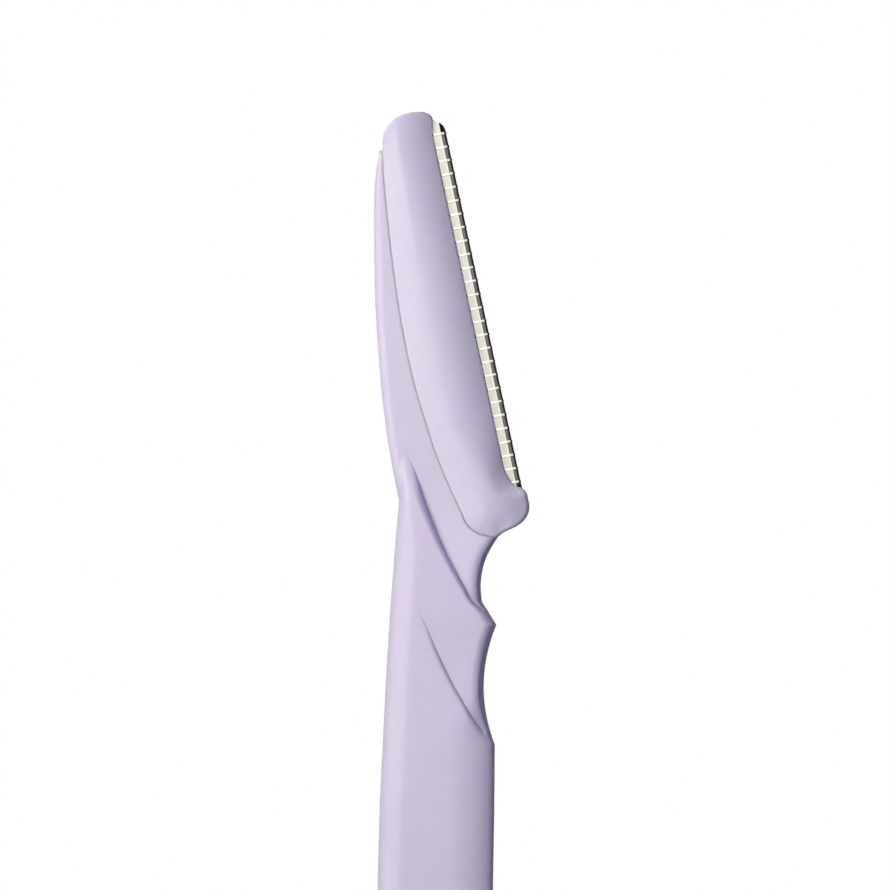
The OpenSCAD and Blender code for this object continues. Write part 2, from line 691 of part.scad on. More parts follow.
module front_head_cover() {
    color("#cfc6e0")
    difference() {
        head_half();
        head_pockets();
        for (s = post_shares)
            translate([post_place(s)[0], 0, post_place(s)[1]])
                cross_pin(post_d + 2 * fit_gap, -tongue_h - post_socket, 0);
        on_edge()
            for (s = pin_shares)
                translate([-pin_u, 0, s * edge_len])
                    cross_pin(pin_d + 2 * fit_gap, -blade_t / 2 - pin_socket, 0);
    }
}

module rear_head_cover() {
    color("#c9bfdb")
    union() {
        difference() {
            mirror([0, 1, 0]) head_half();
            head_pockets();
        }
        for (s = post_shares)
            translate([post_place(s)[0], 0, post_place(s)[1]])
                cross_pin(post_d, -tongue_h - post_socket + 2 * fit_gap, tongue_h + pin_socket);
        on_edge()
            for (s = pin_shares)
                translate([-pin_u, 0, s * edge_len])
                    cross_pin(pin_d, -blade_t / 2 - pin_socket + 2 * fit_gap, blade_t / 2 + pin_socket);
    }
}

// Rounds the upper outer corner of a strip in the blade's own frame
module round_corner() {
    difference() {
        children();
        difference() {
            translate([-corner_r, -over, edge_len - corner_r])
                cube([corner_r + over, 2 * over, corner_r + over]);
            translate([-corner_r, 0, edge_len - corner_r])
                cross_pin(2 * corner_r, -2 * over, 2 * over);
        }
    }
}

// Thin steel strip with a ground bevel, a honed edge and two holes for the pins
module blade() {
    profile = [
        [0, -edge_t / 2], [-hone_w, -hone_t / 2], [-bevel_w, -blade_t / 2], [-blade_w, -blade_t / 2],
        [-blade_w, blade_t / 2], [-bevel_w, blade_t / 2], [-hone_w, hone_t / 2], [0, edge_t / 2]
    ];
    color("#8a8780")
    on_edge()
    difference() {
        round_corner()
            translate([0, 0, -blade_tail])
                linear_extrude(height = edge_len + blade_tail)
                    polygon(profile);
        for (s = pin_shares)
            translate([-pin_u, 0, s * edge_len])
                cross_pin(pin_d + 2 * fit_gap, -over, over);
    }
}

// Length of the guard below the lower end of the bare edge
guard_tail = blade_tail / 3;
rib_count = floor((edge_len - rib_start - rib_w) / rib_pitch) + 1;
// Gap between the guard and the bevel
bevel_gap = fit_gap;

// Pressed steel sheet folded over the blade. Its ribs bridge the edge between windows.
module blade_guard() {
    blade_h = blade_t / 2;
    sheet_h = blade_h + sheet_t;
    rib_h = sheet_h + rib_rise;
    nose_h = hone_t / 2 + bevel_gap;
    rib_foot = bare_w - bump_d / 2 - fit_gap;
    rib_profile = [
        [-rib_foot, -rib_h], [-window_w, -rib_h], [0, -nose_h - rib_rise], [rib_nose, -nose_h / 2],
        [rib_nose, nose_h / 2], [0, nose_h + rib_rise], [-window_w, rib_h], [-rib_foot, rib_h],
        [-rib_foot, blade_h], [-bevel_w, blade_h], [0, edge_t / 2 + bevel_gap],
        [0, -edge_t / 2 - bevel_gap], [-bevel_w, -blade_h], [-rib_foot, -blade_h]
    ];
    color("#e9e6df")
    on_edge()
    round_corner()
    union() {
        for (y = [-sheet_h, blade_h])
            translate([-guard_w, y, -guard_tail])
                cube([guard_w - window_w, sheet_t, edge_len + guard_tail]);
        for (i = [0:rib_count - 1])
            translate([0, 0, edge_len - rib_start - i * rib_pitch]) {
                translate([0, 0, -rib_w / 2])
                    linear_extrude(height = rib_w)
                        polygon(rib_profile);
                for (side = [-1, 1])
                    translate([-rib_foot, side * (sheet_h + bump_rise) / 2 + side * blade_h / 2, 0])
                        cross_pin(bump_d, -(sheet_h + bump_rise - blade_h) / 2,
                            (sheet_h + bump_rise - blade_h) / 2);
            }
    }
}

handle();
front_head_cover();
rear_head_cover();
blade();
blade_guard();
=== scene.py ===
"""Eyebrow razor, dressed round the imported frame.

The long axis is Z with the head up, the cutting edge looks to +X and the front to -Y.
Sizes are in millimetres, and MM turns them into the metres of meshes and shaders. Lamps, camera
and the floor's fade are placed in metres.
"""

import math

import bpy
import numpy as np
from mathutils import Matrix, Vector


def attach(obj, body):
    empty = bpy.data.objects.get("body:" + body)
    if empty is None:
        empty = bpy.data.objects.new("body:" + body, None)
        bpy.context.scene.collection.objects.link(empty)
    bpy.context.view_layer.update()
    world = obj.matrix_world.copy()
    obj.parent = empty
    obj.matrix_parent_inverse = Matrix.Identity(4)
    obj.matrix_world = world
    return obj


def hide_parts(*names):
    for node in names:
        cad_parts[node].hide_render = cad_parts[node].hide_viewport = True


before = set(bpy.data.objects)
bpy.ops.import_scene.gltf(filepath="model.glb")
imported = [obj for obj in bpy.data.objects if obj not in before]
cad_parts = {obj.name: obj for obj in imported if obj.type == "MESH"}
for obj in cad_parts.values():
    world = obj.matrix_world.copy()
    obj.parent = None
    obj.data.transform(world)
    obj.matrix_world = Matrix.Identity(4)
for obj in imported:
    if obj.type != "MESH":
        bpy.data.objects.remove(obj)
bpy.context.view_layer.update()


# Handle. One moulding of lavender polypropylene with a satin skin: the grip, two finger scoops
# with a sharp point between them, the folded neck, and the spine that carries the blade. It comes
# out of a two-part mould that closes along the outline.
MM = 0.001
WHOLE_LEN = 150.0
HEAD_W = 15.7
EDGE_LEN = 38.0
NOSE_OUT = 0.75
CHIN_DROP = 4.95
CROWN_RISE = 0.75
EDGE_X = HEAD_W / 2 - NOSE_OUT
EDGE_TILT = math.asin((EDGE_X + 0.0546 * HEAD_W) / EDGE_LEN)
HEAD_LEN = EDGE_LEN * math.cos(EDGE_TILT) + CHIN_DROP + CROWN_RISE
NECK_Z = WHOLE_LEN - HEAD_LEN
EDGE_Z = NECK_Z + CHIN_DROP

GRIP_W = 11.65
GRIP_X = -1.7
GRIP_H = 2.4
FLAT_H = 2.35
GRIP_CROWN = 0.15
BACK_ROUND = 2.4
SIDE_ROUND = 5.0
FOLD_ROUND = 1.4
SIDE_WALL = 0.8
NECK_WALL = 0.5
RIM_H = 0.25
END_R = 2.8
END_FACE_R = 0.45
NECK_H = 1.3
NECK_LEAN = 0.12
LEAN_FADE = 3.0
SPINE_ROUND = 0.9
FOLD_LEN = 21.0
FOLD_Z = NECK_Z - FOLD_LEN
SCOOP_DEPTH = 1.2
UPPER_ROLL = 1.0
LOWER_ROLL = 0.75
LOWER_STEP = 0.55
RIDGE_RISE = 5.0
SEAM_R = 2.95
SEAM_ROUND = 0.12
SEAM_GAP = 0.004
SPINE_EDGE_W = 0.34
SPINE_EDGE_DROP = 0.15
SPINE_BACK_MOST = -7.856
PARTING_RIDGE = 0.02
FLAT_BLUR = 0.012
SHARP_EDGE = 48.0
FINE_BELOW = 7.0
FINE_MARGIN = 0.5


def ease(v, start, stop):
    """Smooth step: with t the share of the way from start to stop, 3 t squared less 2 t cubed."""
    t = np.clip((v - start) / (stop - start), 0, 1)
    return t * t * (3 - 2 * t)


def round_up(d, w):
    """Quarter ellipse, upright at d = 0, level from d = w: root of 1 less (1 - d / w) squared."""
    t = np.clip(d / w, 0, 1)
    return np.sqrt(np.maximum(0, 1 - (1 - t) ** 2))


def swell_up(d, w):
    """Quarter sine: sine of a right angle times d / w, level from d = w on."""
    return np.sin(0.5 * np.pi * np.clip(d / w, 0, 1))


def through(table, v):
    """Smooth curve through rising [height, place] points. Each stretch is a cubic whose end slopes
    are the means of the straight slopes on both sides, each weighted by the other one's length."""
    at, place = np.array(table, float).T
    length = np.diff(at)
    straight = np.diff(place) / length
    inner = (straight[:-1] * length[1:] + straight[1:] * length[:-1]) / (length[1:] + length[:-1])
    slope = np.concatenate([straight[:1], inner, straight[-1:]])
    i = np.clip(np.searchsorted(at, v, side="left") - 1, 0, len(length) - 1)
    t = np.clip((v - at[i]) / length[i], 0, 1)
    return (place[i] * (2 * t**3 - 3 * t**2 + 1) + place[i + 1] * (3 * t**2 - 2 * t**3)
            + slope[i] * length[i] * (t**3 - 2 * t**2 + t)
            + slope[i + 1] * length[i] * (t**3 - t**2))


def on_head(shares):
    """Points of the head from [height, place] shares of its length and width."""
    return [[NECK_Z + s * HEAD_LEN, p * HEAD_W] for s, p in shares]


def on_folds(shares):
    """Points of the folded stretch from shares of its length, down from the neck, and of the
    grip's width."""
    return [[NECK_Z - s * FOLD_LEN, GRIP_X + p * GRIP_W] for s, p in shares][::-1]


SPINE_BACK = on_head([
    [0.086, -0.340], [0.178, -0.389], [0.272, -0.429], [0.414, -0.468], [0.556, -0.492],
    [0.698, -0.500], [0.792, -0.499], [0.840, -0.493], [0.887, -0.475], [0.910, -0.460]])
KINK_Z, KINK_X = SPINE_BACK[0]
SPINE_TOP = SPINE_BACK[-1][0]
NAPE_X = -0.360 * HEAD_W
GRIP_BACK = [[s * NECK_Z, GRIP_X + p * GRIP_W] for s, p in [
    [0, -0.420], [0.20, -0.468], [0.45, -0.500], [0.666, -0.498], [0.751, -0.476],
    [0.808, -0.451], [0.883, -0.415], [0.940, -0.381]]] + [[NECK_Z, NAPE_X]]
SEAM = on_head([
    [0.050, 0.072], [0.126, -0.024], [0.196, -0.101], [0.280, -0.175], [0.365, -0.243],
    [0.473, -0.307], [0.613, -0.368], [0.700, -0.397], [0.785, -0.421], [0.856, -0.438],
    [0.922, -0.446]])
SEAM_ARC_Z, SEAM_ARC_X = SEAM[0]
SEAM_ARC_MID = SEAM_ARC_X + math.sqrt(SEAM_R**2 - (SEAM_ARC_Z - NECK_Z - SEAM_R) ** 2)
FINGER_SIDE = [[s * FOLD_Z, GRIP_X + p * GRIP_W] for s, p in [
    [0, 0.409], [0.23, 0.442], [0.56, 0.485], [0.83, 0.504], [0.92, 0.515], [1, 0.520]]]
NECK_SIDE = on_folds([
    [0, 0.549], [0.052, 0.490], [0.109, 0.440], [0.157, 0.415], [0.227, 0.398], [0.311, 0.407]])
RAMP_Z, RAMP_X = NECK_SIDE[0]
POINT_Z = NECK_Z - 0.424 * FOLD_LEN
POINT_X = GRIP_X + 0.534 * GRIP_W
FOOT_X = GRIP_X + 0.520 * GRIP_W
UPPER_FOLD = on_folds([
    [-0.408, -0.256], [-0.357, -0.208], [-0.266, -0.141], [-0.175, -0.091], [-0.069, -0.017],
    [0.052, 0.075], [0.148, 0.163], [0.249, 0.265], [0.319, 0.342], [0.370, 0.470]])
RIDGE_BACK = on_folds([[-0.408, -0.256], [-0.380, -0.281], [-0.180, -0.312]])
LOWER_FOLD = on_folds([
    [0.335, -0.155], [0.427, -0.078], [0.571, 0.035], [0.689, 0.139], [0.787, 0.239],
    [0.879, 0.342], [0.941, 0.424], [1.010, 0.530]])
TIP_Z = UPPER_FOLD[-1][0]
UPPER_FOOT = UPPER_FOLD[0][0]
LOWER_TOP = LOWER_FOLD[-1][0]
LOWER_FOOT = LOWER_FOLD[0][0]
STEP_ON = NECK_Z - 0.290 * FOLD_LEN
STEP_FULL = NECK_Z - 0.640 * FOLD_LEN


def end_inset(z):
    """How far the round corners of the handle's end draw the outline in: a quarter circle."""
    return END_R * (1 - round_up(z, END_R))


def back_side(z):
    """Back outline: one smooth curve up to the nape, straight on to the kink, then the spine."""
    nape = NAPE_X + (KINK_X - NAPE_X) * (z - NECK_Z) / (KINK_Z - NECK_Z)
    return np.where(z <= NECK_Z, through(GRIP_BACK, z) + end_inset(z),
                    np.where(z <= KINK_Z, nape, through(SPINE_BACK, z)))


def seam_side(z):
    """Seam between spine and cover: a curve, and below it a circle's arc down to the underside of
    the chin."""
    arc = SEAM_ARC_MID - SEAM_R * round_up(z - NECK_Z, SEAM_R)
    return np.where(z >= SEAM_ARC_Z, through(SEAM, z), arc)


def finger_side(z):
    """Edge-side outline: plain grip, lower scoop as a parabola, straight ramp above the point,
    neck, seam."""
    t = (z - FOLD_Z) / (POINT_Z - FOLD_Z)
    scoop = FOOT_X + (POINT_X - FOOT_X) * t - SCOOP_DEPTH * 4 * t * (1 - t)
    ramp = POINT_X + (RAMP_X - POINT_X) * (z - POINT_Z) / (RAMP_Z - POINT_Z)
    return np.select([z <= FOLD_Z, z <= POINT_Z, z <= RAMP_Z, z <= NECK_Z],
                     [through(FINGER_SIDE, z) - end_inset(z), scoop, ramp, through(NECK_SIDE, z)],
                     seam_side(z))


def wall_width(z):
    """Width of the slanted wall on the finger side, narrowing from the grip up to the neck."""
    folded = SIDE_WALL + (NECK_WALL - SIDE_WALL) * ease(z, FOLD_Z, RAMP_Z)
    return np.where(z > NECK_Z, SPINE_EDGE_W, folded)


def side_round_width(z):
    """Width over which the face rounds off to the finger side: broad on the grip, narrow beside
    the folds."""
    folded = ease(z, FOLD_Z - FOLD_LEN / 20, FOLD_Z + FOLD_LEN / 4)
    return SIDE_ROUND + (FOLD_ROUND - SIDE_ROUND) * folded


def upper_fold_x(z):
    """Line of the upper fold. Below its foot a place far outside says that there is none."""
    return np.where(z < UPPER_FOOT, HEAD_W, through(UPPER_FOLD, z))


def lower_fold_x(z):
    """Line of the lower fold. Below its foot a place far outside says that there is none."""
    return np.where(z < LOWER_FOOT, HEAD_W, through(LOWER_FOLD, z))


def face_height(x, z):
    """Half thickness over the face. A round rim carries a leaf that starts at the tip of the ridge.
    The leaf swells up from the back, sinks by the crown's parabola, steps down past the lower fold
    by a quarter ellipse and rolls into the upper fold by another one. Beside it the neck's face
    leans a little, so that it is thickest on the finger side. The swell, the roll and the rim take
    no more than their shares of a narrow stretch."""
    swell_most, roll_most, rim_most = 0.45, 0.55, 0.5
    left, right = back_side(z), finger_side(z)
    level = np.where(z < END_FACE_R, GRIP_H - END_FACE_R * (1 - round_up(z, END_FACE_R)), GRIP_H)
    off = (x - left) / GRIP_W * 2 - 1
    ridge = np.where(z < KINK_Z, left, np.where(z > TIP_Z, x, through(RIDGE_BACK, z)))
    fold = np.where(z > TIP_Z, x, upper_fold_x(z))
    share = ease(TIP_Z - z, 0, RIDGE_RISE)
    leaf_w = np.maximum(SEAM_ROUND, np.minimum(fold, right) - ridge)
    swell_w = np.minimum(BACK_ROUND, leaf_w * swell_most)
    roll_w = LOWER_ROLL + (UPPER_ROLL - LOWER_ROLL) * ease(z, RAMP_Z, TIP_Z)
    roll_w = np.minimum(roll_w, leaf_w * roll_most)
    step = LOWER_STEP * ease(STEP_ON - z, 0, STEP_ON - STEP_FULL)
    step_roll = round_up(lower_fold_x(z) - x, LOWER_ROLL)
    leaf = (level - NECK_H) * swell_up(x - ridge + end_inset(z), swell_w) - step * (1 - step_roll)
    rise = np.where(z > TIP_Z, 0, round_up(fold - x, roll_w))
    rim_w = np.minimum(SPINE_ROUND, (right - left) * rim_most)
    plane = (NECK_H - RIM_H) * round_up(x - left, rim_w)
    neck = ease(z, RAMP_Z - LEAN_FADE, RAMP_Z) * (1 - ease(z, NECK_Z - LEAN_FADE, TIP_Z))
    lean = NECK_LEAN * (x - 0.5 * (NAPE_X + POINT_X)) * neck
    return RIM_H + plane + lean + share * (leaf - lean - GRIP_CROWN * off * off) * rise


def handle_height(x, z):
    """Face height, run down to the rim by the slanted wall on the finger side, which is plain
    beside the folds and a quarter ellipse along the grip. Up to the neck a wider quarter ellipse
    lowers the face as well, and the lower of the two counts. The flats cut the crown with a soft
    edge, by the logarithm of 1 plus e to the excess."""
    right, w = finger_side(z), wall_width(z)
    d = (right - x) / w
    soft = 1 - ease(z, FOLD_Z - FOLD_LEN / 4, FOLD_Z)
    slant = np.where(z > NECK_Z, round_up(d, 1), d + (round_up(d, 1) - d) * soft)
    slant = np.where(d >= 1, 1, np.clip(slant, 0, 1))
    fall = np.where(z > NECK_Z, 1, round_up(right + end_inset(z) - x, side_round_width(z)))
    foot = np.where(z > NECK_Z, NECK_H - SPINE_EDGE_DROP, RIM_H)
    top = face_height(np.minimum(x, right - w), z)
    h = foot + (top - foot) * np.minimum(slant, fall)
    return h - FLAT_BLUR * np.logaddexp(0, (h - FLAT_H) / FLAT_BLUR)


def spread(count, way):
    """Shares from 0 up to 1, without the 1: even, closer together early by 1 less a cosine, or
    closer together late by a sine."""
    t = np.arange(count) / count
    return {"even": t, "early": 1 - np.cos(0.5 * np.pi * t), "late": np.sin(0.5 * np.pi * t)}[way]


def handle_columns(z):
    """Places across each level. Between knots on the outlines, the walls and the two folds the
    places are spread evenly, or closer together by a sine towards an outline or a fold. Where a
    fold isn't there, its knot goes to a share of the free width."""
    back_most, nearest, upper_rest = 0.3, 0.012, 0.7
    lower_rest, lower_above, roll_least = 0.4, 0.14, 0.3
    left, right = back_side(z), finger_side(z) - wall_width(z)
    wide = right - left
    lo = left + np.minimum(BACK_ROUND, wide * back_most)
    near = wide * nearest
    above, below = ease(z, TIP_Z, TIP_Z + RIDGE_RISE), ease(FOLD_Z - z, 0, FOLD_LEN / 3)
    far = lo + (right - lo) * upper_rest
    upper = far + (through(UPPER_FOLD, z) - far) * (1 - above) * (1 - below)
    upper = np.where(z < UPPER_FOOT, right + (far - right) * below, upper)
    upper = np.clip(upper, lo + 3 * near, right - near)
    free = lo + (upper - lo) * lower_rest
    start = lo + (upper - lo) * lower_above
    over = start + (free - start) * ease(z, LOWER_TOP, NECK_Z)
    under = upper + (free - upper) * below
    lower = np.select([z > LOWER_TOP, z < LOWER_FOOT], [over, under], through(LOWER_FOLD, z))
    lower = np.clip(lower, lo + near, upper - 2 * near)
    before_lower = np.maximum(lo + (lower - lo) * roll_least, lower - LOWER_ROLL)
    before_upper = np.maximum(lower + (upper - lower) * roll_least, upper - UPPER_ROLL)
    knots = [left, lo, before_lower, lower, before_upper, upper, right, finger_side(z)]
    shares = [spread(22, "early"), spread(8, "even"), spread(14, "late"), spread(8, "even"),
              spread(20, "late"), spread(9, "even"), spread(12, "even")]
    across = [a[:, None] + (b - a)[:, None] * s for a, b, s in zip(knots, knots[1:], shares)]
    return np.concatenate(across + [knots[-1][:, None]], axis=1)


def levels(*stretches):
    """Heights from stretches of (start, stop, count, way), each spread out in its way."""
    out = [start + (stop - start) * spread(count, way) for start, stop, count, way in stretches]
    return np.concatenate(out + [[stretches[-1][1]]])


def weld(points, quads):
    """Points that are alike to seven digits become one, in the order of their first. A quad that
    loses one corner by that becomes a triangle, and a quad that loses more is left out."""
    alike = np.round(points, 7)
    _, first, number = np.unique(alike, axis=0, return_index=True, return_inverse=True)
    order = np.argsort(first)
    number = np.argsort(order)[number.reshape(-1)]
    corner = number[quads]
    lost = corner == np.roll(corner, -1, axis=1)
    one = lost.sum(axis=1) == 1
    triangles = corner[one][~lost[one]].reshape(-1, 3)
    return points[first[order]], number, corner[~lost.any(axis=1)], triangles


def put_mesh(name, points, quads, others=()):
    """A smooth mesh object at the origin from points in millimetres and faces as point numbers."""
    points, number, quads, triangles = weld(points, quads)
    faces = quads.tolist() + triangles.tolist() + [number[list(f)].tolist() for f in others]
    mesh = bpy.data.meshes.new(name)
    mesh.from_pydata((points * MM).tolist(), [], faces)
    mesh.polygons.foreach_set("use_smooth", np.ones(len(mesh.polygons), bool))
    mesh.set_sharp_from_angle(angle=math.radians(SHARP_EDGE))
    piece = bpy.data.objects.new(name, mesh)
    bpy.context.scene.collection.objects.link(piece)
    return piece


def join_rings(rings):
    """Quads between closed rings of points that lie one above the other, facing outwards."""
    rows, around = rings.shape[:2]
    number = np.arange(rows * around).reshape(rows, around)
    after = np.roll(number, -1, axis=1)
    return np.stack([number[:-1], after[:-1], after[1:], number[1:]], axis=-1).reshape(-1, 4)


def handle_body():
    """Each level is a ring: the front from back to finger side, the rim with its parting ridge,
    the rear the other way, and the rim on the back. The ends are closed across the ring, by quads
    and at both rims by a face with the rim's four points. On the back no point goes out past the
    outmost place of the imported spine."""
    fine_z, leaf_z, bare_z = FOLD_Z - FINE_BELOW, FOLD_Z - FINE_MARGIN, TIP_Z + FINE_MARGIN
    z = levels((0, END_R, 24, "early"), (END_R, fine_z, 34, "even"), (fine_z, leaf_z, 20, "even"),
               (leaf_z, NECK_Z, 200, "even"), (NECK_Z, NECK_Z + SEAM_GAP, 1, "even"),
               (NECK_Z + SEAM_GAP, KINK_Z, 40, "early"), (KINK_Z, bare_z, 56, "even"),
               (bare_z, SPINE_TOP, 44, "even"))
    x = handle_columns(z)
    deep = handle_height(x, z[:, None])
    up = np.broadcast_to(z[:, None], x.shape)
    inset = np.where(z > NECK_Z, 0, PARTING_RIDGE)[:, None]
    middle = 0.5 * (x[:, :1] + x[:, -1:])
    narrowed = 1 - 2 * inset / (x[:, -1:] - x[:, :1])
    x = np.maximum(middle + (x - middle) * narrowed, SPINE_BACK_MOST)
    front = np.stack([x, -deep, up], axis=-1)
    rear = np.stack([x, deep, up], axis=-1)[:, ::-1]

    def rim(side, out):
        """Four points down the rim of each level, the middle two out by the parting ridge."""
        share = np.array([-0.22, -0.06, 0.06, 0.22])
        ridge = np.array([0.1, 1.0, 1.0, 0.1])
        place = x[:, side, None] + out * inset * ridge
        level = np.broadcast_to(z[:, None], place.shape)
        return np.stack([place, deep[:, side, None] * share, level], axis=-1)

    rings = np.concatenate([front, rim(-1, 1), rear, rim(0, -1)[:, ::-1]], axis=1)
    count, strip = x.shape[1], 4
    around = rings.shape[1]
    j = np.arange(1, count - 2)
    back_of = lambda c: count + strip + count - 1 - c
    top = (len(z) - 1) * around
    foot = np.stack([j, back_of(j), back_of(j + 1), j + 1], axis=-1)
    head = np.stack([j, j + 1, back_of(j + 1), back_of(j)], axis=-1) + top
    right_end = list(range(count - 2, count + strip + 2))
    left_end = [1, 0] + list(range(around - 1, around - strip - 3, -1))
    ends = [right_end[::-1], left_end,
            [n + top for n in right_end], [n + top for n in left_end[::-1]]]
    quads = np.concatenate([join_rings(rings), foot, head])
    return put_mesh("handle_moulding", rings.reshape(-1, 3), quads, ends)


def add_node(material, kind, **values):
    """A node of that kind with its sockets set by name, where spaces are written as underscores."""
    node = material.node_tree.nodes.new(kind)
    for name, value in values.items():
        socket = node.inputs.get(name.replace("_", " "))
        if socket is None:
            setattr(node, name, value)
        elif isinstance(value, bpy.types.NodeSocket):
            material.node_tree.links.new(value, socket)
        else:
            socket.default_value = value
    return node


def fresh_material(name):
    """A material of that name with an empty node tree."""
    material = bpy.data.materials.new(name)
    material.use_nodes = True
    material.node_tree.nodes.clear()
    return material


def tone_ramp(material, share, stops):
    """Colour over a share from 0 to 1, straight between (share, colour) stops."""
    ramp = add_node(material, "ShaderNodeValToRGB", Fac=share)
    while len(ramp.color_ramp.elements) < len(stops):
        ramp.color_ramp.elements.new(0.5)
    for stop, (at, colour) in zip(ramp.color_ramp.elements, stops):
        stop.position, stop.color = at, (*colour, 1)
    return ramp.outputs["Color"]


def noise(material, place, scale, detail, roughness=0.5):
    """Noise from 0 to 1 in patches of about one unit of place over the scale, and finer ones."""
    node = add_node(material, "ShaderNodeTexNoise", Vector=place, Scale=scale, Detail=detail,
                    Roughness=roughness)
    return node.outputs["Fac"]


def bump(material, height, distance, **under):
    """Normal of a relief of that height in metres, laid over another normal if one is given."""
    node = add_node(material, "ShaderNodeBump", Height=height, Strength=1.0, Distance=distance,
                    **under)
    return node.outputs["Normal"]


def satin_lavender(name, pale, deep):
    """Moulded polypropylene: a cloudy tone over centimetres, a fine sparked skin of about a
    quarter of a millimetre in bump and gloss, and a little light carried under the surface."""
    material = fresh_material(name)
    place = add_node(material, "ShaderNodeTexCoord").outputs["Object"]
    tone = tone_ramp(material, noise(material, place, 90.0, 3.0), [(0.3, deep), (0.7, pale)])
    grain = noise(material, place, 3600.0, 3.0, 0.6)
    gloss = add_node(material, "ShaderNodeMapRange", Value=grain,
                     From_Min=0.3, From_Max=0.7, To_Min=0.46, To_Max=0.58)
    swell = bump(material, noise(material, place, 700.0, 2.0), 0.006 * MM)
    skin = bump(material, grain, 0.0035 * MM, Normal=swell)
    shader = add_node(material, "ShaderNodeBsdfPrincipled", Base_Color=tone,
                      Roughness=gloss.outputs["Result"], Normal=skin, IOR=1.47,
                      Specular_IOR_Level=0.15, Subsurface_Weight=0.5,
                      Subsurface_Radius=(1.0, 0.5, 1.4), Subsurface_Scale=MM)
    add_node(material, "ShaderNodeOutputMaterial", Surface=shader.outputs["BSDF"])
    return material


handle_plastic = satin_lavender("handle_plastic_satin", pale=(0.628, 0.578, 0.770),
                                deep=(0.603, 0.553, 0.745))
handle = handle_body()
handle.data.materials.append(handle_plastic)
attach(handle, "root")
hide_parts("handle")


# Head covers. Two lavender shells, front and rear, snap together through the spine's tongue and
# the blade. Each rises from the seam to a crest, falls to the lips that hold the guard, and ends
# below in the chin with its nose.
CREST_H = 2.25
LIP_H = 0.65
LIP_FALL = 4.2
CREST_IN = 3.4
CREST_LEAST = 0.01
NOSE_FALL = 4.8
NOSE_POWER = 1.8
CORNER_STEEP = 0.6
FALL_POWER = 2.0
SEAM_RISE = 3.9
LOW_RISE = 2.6
COVER_SEAM_ROUND = 0.2
SHOULDER_Z = WHOLE_LEN - 3.3
SHOULDER_H = 3.3
SHOULDER_POWER = 2.2
CROWN_REACH = 1.25
COVER_ROUND = 0.4
CROWN_ROUND = 0.25
LIP_ROUND = 0.2
LIPS_STRETCH = 2.5
LIPS_ABOVE = 3.0
CORNER_REACH = 7.0
TOP_SLIVER = 0.005
COVER_COLUMNS = 88
BARE_W = 1.34
LIP_STOP = WHOLE_LEN - 2.2
RIB_START = 1.33
GUARD_POCKET = 0.31
POCKET_W = 2.1
POCKET_TAIL = 0.9
POCKET_SLOPE = 0.05
PARTING_BEVEL = 0.05
SIN_TILT, COS_TILT = math.sin(EDGE_TILT), math.cos(EDGE_TILT)
RIB_PITCH = 1.384
RIB_COUNT = 27
RIB_STEP = RIB_PITCH * COS_TILT
NOTCH_IN = 0.09
NOTCH_HALF = 0.15


def lip_side(z):
    """Line of the lips: the edge moved in by the bare width, and upright above its upper stop."""
    return EDGE_X - (np.minimum(z, LIP_STOP) - EDGE_Z) * math.tan(EDGE_TILT) - BARE_W / COS_TILT


def lip_notches(z):
    """Small dents that the guard's bumps leave in the lips: a bell curve, e to minus the square of
    the height's distance from the nearest rib in half widths, from the first rib to the last."""
    first = EDGE_Z + (EDGE_LEN - RIB_START) * COS_TILT - BARE_W * SIN_TILT
    turn = np.clip(np.round((first - z) / RIB_STEP), 0, RIB_COUNT - 1)
    return NOTCH_IN * np.exp(-((z - first + turn * RIB_STEP) / NOTCH_HALF) ** 2)


def on_chin(shares):
    """Points round the end of the edge from [height, place] shares of the chin's drop."""
    return [[EDGE_Z + s * CHIN_DROP, EDGE_X + p * CHIN_DROP] for s, p in shares]


CORNER_Z = EDGE_Z + 0.384 * CHIN_DROP
CORNER = ([[EDGE_Z, EDGE_X]]
          + on_chin([[0.020, -0.090], [0.075, -0.175], [0.185, -0.262], [0.295, -0.323]])
          + [[CORNER_Z, float(lip_side(CORNER_Z))]])
CHIN = (on_chin([[0, 0], [-0.03, 0.034], [-0.100, 0.090], [-0.236, 0.125]])
        + [[EDGE_Z - 0.36 * CHIN_DROP, HEAD_W / 2]]
        + on_chin([[-0.587, 0.097], [-0.700, 0.010], [-0.780, -0.100], [-0.916, -0.378]])
        + [[NECK_Z + SEAM_GAP, NECK_SIDE[-1][1]]])[::-1]
CROWN_X = float(lip_side(WHOLE_LEN)) - CROWN_REACH


def cover_back_side(z):
    """Back outline of a cover: the seam with its gap, and above it a round shoulder a little
    fuller than an ellipse, with 2.2 as its power."""
    t = np.clip((z - SHOULDER_Z) / SHOULDER_H, 0, 1)
    full = np.maximum(0, 1 - t**SHOULDER_POWER) ** (1 / SHOULDER_POWER)
    return np.where(z > SHOULDER_Z, CROWN_X - (CROWN_X - SEAM[-1][1] - SEAM_GAP) * full,
                    seam_side(z - SEAM_GAP) + SEAM_GAP)


def cover_edge_side(z):
    """Blade-side outline: quarter ellipse at the crown, lips, round corner, nose and jaw."""
    crown = CROWN_X + CROWN_REACH * round_up(WHOLE_LEN - z, CROWN_RISE)
    return np.select([z > WHOLE_LEN - CROWN_RISE, z > CORNER_Z, z > EDGE_Z],
                     [crown, lip_side(z) - lip_notches(z), through(CORNER, z)], through(CHIN, z))


def far_from(x, z, line):
    """Distance of each point from a line of points: the least over its straight stretches."""
    start, step = line[:-1], np.diff(line, axis=0)
    best = np.full(x.shape, np.inf)
    for (ax, az), (sx, sz) in zip(start, step):
        t = np.clip(((x - ax) * sx + (z - az) * sz) / (sx * sx + sz * sz + 1e-12), 0, 1)
        best = np.minimum(best, np.hypot(x - ax - t * sx, z - az - t * sz))
    return best


def round_over(d, r):
    """Drop of a quarter circle of radius r at distance d inside an outline."""
    inside = np.clip(r - d, 0, r)
    return r - np.sqrt(np.maximum(0, r * r - inside * inside))


